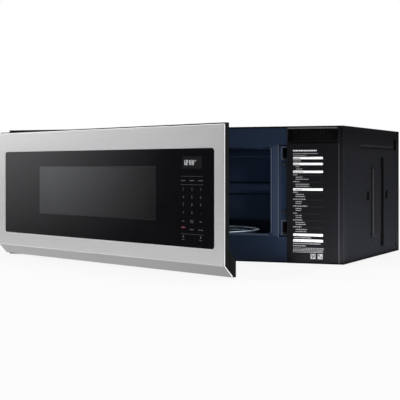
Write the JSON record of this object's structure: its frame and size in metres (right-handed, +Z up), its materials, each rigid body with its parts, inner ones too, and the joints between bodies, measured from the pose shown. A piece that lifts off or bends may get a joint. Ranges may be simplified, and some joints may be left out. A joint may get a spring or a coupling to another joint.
{
  "type": "over the range microwave",
  "caption": "Low over-the-range microwave with a side-hinged steel door standing ajar, finger-pocket lip, enamel cavity with turntable, rear vent blower and filters underneath.",
  "frame": {"origin": "centre of the flat rear face that goes against the wall", "axes": "+X to the right seen from the front, +Y into the wall, +Z up"},
  "size_m": [0.7667, 0.8191, 0.2705],
  "materials": {
    "case_paint": "satin black powder paint",
    "blue_enamel": "semi-gloss dark blue enamel",
    "cavity_enamel": "semi-gloss dark blue enamel",
    "brushed_front": "brushed, fingerprint resistant",
    "zinc_steel": "zinc plated",
    "black_plastic": "fine grain",
    "gloss_black_glass": "polished, black print on the back",
    "clear_glass": "polished",
    "tray_glass": "polished",
    "copper": "enamelled wire and laminations",
    "aluminium": "mill",
    "white_plastic": "moulded",
    "board": "solder mask",
    "mica": "pressed sheet",
    "core_steel": "varnished laminations",
    "rubber": "moulded",
    "shaft_steel": "ground"
  },
  "bodies": {
    "housing": {"right_side_panel": "case_paint", "left_side_panel": "case_paint", "top_panel": "case_paint", "rear_panel": "case_paint", "base_plate": "case_paint", "face_plate": "blue_enamel", "cavity_liner": "cavity_enamel", "cavity_back": "cavity_enamel", "cavity_floor": "cavity_enamel", "waveguide": "aluminium", "waveguide_cover": "mica", "magnetron": "aluminium", "transformer": "core_steel", "capacitor": "aluminium", "fan_shroud": "black_plastic", "fan_motor": "core_steel", "noise_filter_board": "board", "control_bay_cover": "black_plastic", "latch_board": "black_plastic", "door_switches": "white_plastic", "catch_screws": "zinc_steel", "turntable_motor": "zinc_steel", "blower_scrolls": "zinc_steel", "blower_motor": "zinc_steel", "motor_cradle": "zinc_steel", "exhaust_plenum": "zinc_steel", "cooktop_lenses": "clear_glass", "cooktop_lamps": "aluminium", "oven_lamp": "white_plastic", "cabinet_bolt_nuts": "zinc_steel", "cord_bush": "rubber", "hinge_brackets": "zinc_steel"},
    "door": {"steel_front": "brushed_front", "door_frame": "black_plastic", "door_glass": "gloss_black_glass", "choke_frame": "case_paint", "choke_cover": "black_plastic", "inner_glass": "clear_glass", "grip_liner": "black_plastic", "end_caps": "black_plastic", "clock_module": "white_plastic", "touch_board": "board", "control_board": "board", "door_hinges": "zinc_steel", "latch_spring": "shaft_steel"},
    "catch_key": {"latch_key": "white_plastic"},
    "turntable_drive": {"coupler": "white_plastic", "turntable_shaft": "shaft_steel"},
    "tray": {"glass_tray": "tray_glass"},
    "roller_ring": {"roller_ring": "white_plastic"},
    "roller_1": {"roller_1": "white_plastic"},
    "roller_2": {"roller_2": "white_plastic"},
    "roller_3": {"roller_3": "white_plastic"},
    "blower_rotor": {"blower_wheels": "white_plastic", "blower_axle": "shaft_steel"},
    "cooling_fan": {"fan_blades": "white_plastic", "fan_shaft": "shaft_steel"},
    "damper": {"damper_flap": "aluminium"},
    "right_filter": {"right_grease_filter": "aluminium"},
    "left_filter": {"left_grease_filter": "aluminium"}
  },
  "joints": [
    {"name": "door_hinge", "type": "hinge", "parent": "housing", "child": "door", "pos_m": [-0.37, -0.4525, 0], "axis": [0, 0, -1], "range_deg": [-27.8, 67.2]},
    {"name": "catch_slide", "type": "slide", "parent": "door", "child": "catch_key", "axis": [0, 0, 1], "range_m": [0, 0.003], "stiffness_N_per_m": 300, "springref_m": -0.004, "deforming": ["latch_spring"]},
    {"name": "turntable_spin", "type": "hinge", "parent": "housing", "child": "turntable_drive", "pos_m": [-0.033, -0.2645, -0.1035], "axis": [0, 0, 1], "continuous": true},
    {"name": "tray_lift", "type": "slide", "parent": "turntable_drive", "child": "tray", "axis": [0, 0, 1], "range_m": [0, 0.03]},
    {"name": "roller_ring_turn", "type": "hinge", "parent": "housing", "child": "roller_ring", "pos_m": [-0.033, -0.2645, -0.0972], "axis": [0, 0, 1], "continuous": true},
    {"name": "roller_1_spin", "type": "hinge", "parent": "roller_ring", "child": "roller_1", "pos_m": [0.0826, -0.2645, -0.0972], "axis": [1, 0, 0], "continuous": true},
    {"name": "roller_2_spin", "type": "hinge", "parent": "roller_ring", "child": "roller_2", "pos_m": [-0.0908, -0.16439, -0.0972], "axis": [-0.5, 0.866, 0], "continuous": true},
    {"name": "roller_3_spin", "type": "hinge", "parent": "roller_ring", "child": "roller_3", "pos_m": [-0.0908, -0.36461, -0.0972], "axis": [-0.5, -0.866, 0], "continuous": true},
    {"name": "vent_blower_spin", "type": "hinge", "parent": "housing", "child": "blower_rotor", "pos_m": [0, -0.048, -0.0425], "axis": [1, 0, 0], "continuous": true},
    {"name": "cooling_fan_spin", "type": "hinge", "parent": "housing", "child": "cooling_fan", "pos_m": [0.318, -0.122, 0.0255], "axis": [0, 1, 0], "continuous": true},
    {"name": "damper_swing", "type": "hinge", "parent": "housing", "child": "damper", "pos_m": [0, -0.0095, 0.116], "axis": [-1, 0, 0], "range_deg": [0, 80]},
    {"name": "right_filter_tilt", "type": "hinge", "parent": "housing", "child": "right_filter", "pos_m": [0.175, -0.12, -0.1325], "axis": [1, 0, 0], "range_deg": [0, 40]},
    {"name": "left_filter_tilt", "type": "hinge", "parent": "housing", "child": "left_filter", "pos_m": [-0.175, -0.12, -0.1325], "axis": [1, 0, 0], "range_deg": [0, 40]}
  ],
  "couplings": [
    {"joint": "roller_ring_turn", "follows": "turntable_spin", "ratio": 0.5},
    {"joint": "roller_1_spin", "follows": "turntable_spin", "ratio": -8.2571},
    {"joint": "roller_2_spin", "follows": "turntable_spin", "ratio": -8.2571},
    {"joint": "roller_3_spin", "follows": "turntable_spin", "ratio": -8.2571}
  ]
}
